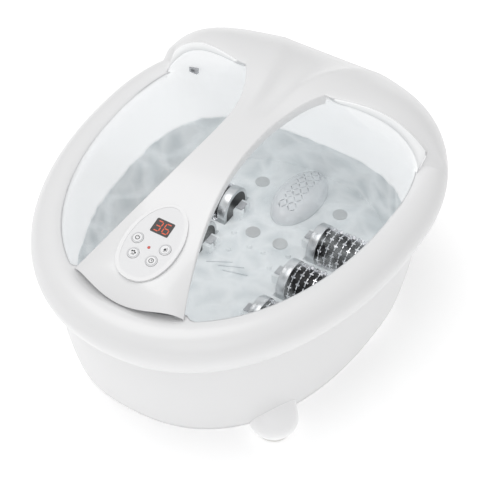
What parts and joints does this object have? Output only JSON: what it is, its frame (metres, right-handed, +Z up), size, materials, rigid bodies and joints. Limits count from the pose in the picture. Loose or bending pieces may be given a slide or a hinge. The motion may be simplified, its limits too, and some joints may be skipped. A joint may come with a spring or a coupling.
{
  "type": "foot spa basin",
  "caption": "Wide foot spa basin with studded massage rollers, a raised rear hood, a control bridge over the middle and short legs.",
  "frame": {"origin": "on the floor, below the centre of the overall box", "axes": "+Z up, -Y towards the user and the front of the control panel, X across, left side at -X"},
  "size_m": [0.3934, 0.4801, 0.2502],
  "materials": {
    "white_body": "satin white moulded plastic",
    "grey_trim": "light grey moulded plastic",
    "strip_lens": "pale translucent plastic",
    "steel": "plain steel",
    "disc_plastic": "pale grey plastic",
    "dome_plastic": "glossy white plastic",
    "bezel_plastic": "glossy white plastic",
    "fascia_plastic": "very pale grey plastic",
    "dark_window": "dark tinted plastic",
    "black_plastic": "black plastic",
    "red_lamp": "red translucent plastic",
    "circuit_board": "green printed board",
    "heater_metal": "plain aluminium",
    "clear_rubber": "soft milky tube",
    "rubber_pad": "pale soft rubber",
    "button_plastic": "glossy white plastic",
    "roller_barrel": "glossy black plastic",
    "roller_chrome": "bright plating on plastic"
  },
  "bodies": {
    "basin": {"air_hose": "clear_rubber", "air_pump": "black_plastic", "base_plate": "white_body", "base_screws": "steel", "button_switches": "black_plastic", "console_bridge": "white_body", "console_screws": "steel", "console_underside": "grey_trim", "control_board": "circuit_board", "display_module": "black_plastic", "display_window": "dark_window", "floor_discs": "disc_plastic", "heater_plate": "heater_metal", "hood_liner": "white_body", "indicator_led": "red_lamp", "light_strip_left": "strip_lens", "light_strip_right": "strip_lens", "lower_shell": "white_body", "mains_inlet": "black_plastic", "motor_bracket": "black_plastic", "panel_bezel": "bezel_plastic", "panel_fascia": "fascia_plastic", "power_board": "circuit_board", "rear_hood": "white_body", "rim_casing": "white_body", "roller_axles": "steel", "roller_clips": "grey_trim", "rubber_feet": "rubber_pad", "strip_clip": "grey_trim", "thermostat": "black_plastic", "tub": "white_body", "vibration_motor": "steel"},
    "roller_left_1": {"roller_left_1_core": "roller_barrel", "roller_left_1_sleeve": "roller_chrome"},
    "roller_left_2": {"roller_left_2_core": "roller_barrel", "roller_left_2_sleeve": "roller_chrome"},
    "roller_left_3": {"roller_left_3_core": "roller_barrel", "roller_left_3_sleeve": "roller_chrome"},
    "roller_right_1": {"roller_right_1_core": "roller_barrel", "roller_right_1_sleeve": "roller_chrome"},
    "roller_right_2": {"roller_right_2_core": "roller_barrel", "roller_right_2_sleeve": "roller_chrome"},
    "roller_right_3": {"roller_right_3_core": "roller_barrel", "roller_right_3_sleeve": "roller_chrome"},
    "button_power": {"button_power": "button_plastic"},
    "button_light": {"button_light": "button_plastic"},
    "button_heat": {"button_heat": "button_plastic"},
    "button_timer": {"button_timer": "button_plastic"},
    "eccentric_weight": {"eccentric_weight": "steel"},
    "herb_dome": {"herb_dome": "dome_plastic"}
  },
  "joints": [
    {"name": "roller_left_1_spin", "type": "hinge", "parent": "basin", "child": "roller_left_1", "pos_m": [-0.0865, -0.04, 0.046], "axis": [1, 0, 0], "continuous": true},
    {"name": "roller_left_2_spin", "type": "hinge", "parent": "basin", "child": "roller_left_2", "pos_m": [-0.0865, 0.0245, 0.046], "axis": [1, 0, 0], "continuous": true},
    {"name": "roller_left_3_spin", "type": "hinge", "parent": "basin", "child": "roller_left_3", "pos_m": [-0.0865, 0.089, 0.046], "axis": [1, 0, 0], "continuous": true},
    {"name": "roller_right_1_spin", "type": "hinge", "parent": "basin", "child": "roller_right_1", "pos_m": [0.0865, -0.04, 0.046], "axis": [1, 0, 0], "continuous": true},
    {"name": "roller_right_2_spin", "type": "hinge", "parent": "basin", "child": "roller_right_2", "pos_m": [0.0865, 0.0245, 0.046], "axis": [1, 0, 0], "continuous": true},
    {"name": "roller_right_3_spin", "type": "hinge", "parent": "basin", "child": "roller_right_3", "pos_m": [0.0865, 0.089, 0.046], "axis": [1, 0, 0], "continuous": true},
    {"name": "button_power_press", "type": "slide", "parent": "basin", "child": "button_power", "axis": [0, 0.2605, -0.9655], "range_m": [0, 0.0008], "stiffness_N_per_m": 900, "springref_m": -0.0004},
    {"name": "button_light_press", "type": "slide", "parent": "basin", "child": "button_light", "axis": [0, 0.2605, -0.9655], "range_m": [0, 0.0008], "stiffness_N_per_m": 900, "springref_m": -0.0004},
    {"name": "button_heat_press", "type": "slide", "parent": "basin", "child": "button_heat", "axis": [0, 0.2605, -0.9655], "range_m": [0, 0.0008], "stiffness_N_per_m": 900, "springref_m": -0.0004},
    {"name": "button_timer_press", "type": "slide", "parent": "basin", "child": "button_timer", "axis": [0, 0.2605, -0.9655], "range_m": [0, 0.0008], "stiffness_N_per_m": 900, "springref_m": -0.0004},
    {"name": "weight_spin", "type": "hinge", "parent": "basin", "child": "eccentric_weight", "pos_m": [0.019, -0.055, 0.028], "axis": [1, 0, 0], "continuous": true},
    {"name": "dome_lift", "type": "slide", "parent": "basin", "child": "herb_dome", "axis": [0, -0.28, 0.96], "range_m": [0, 0.04]}
  ]
}
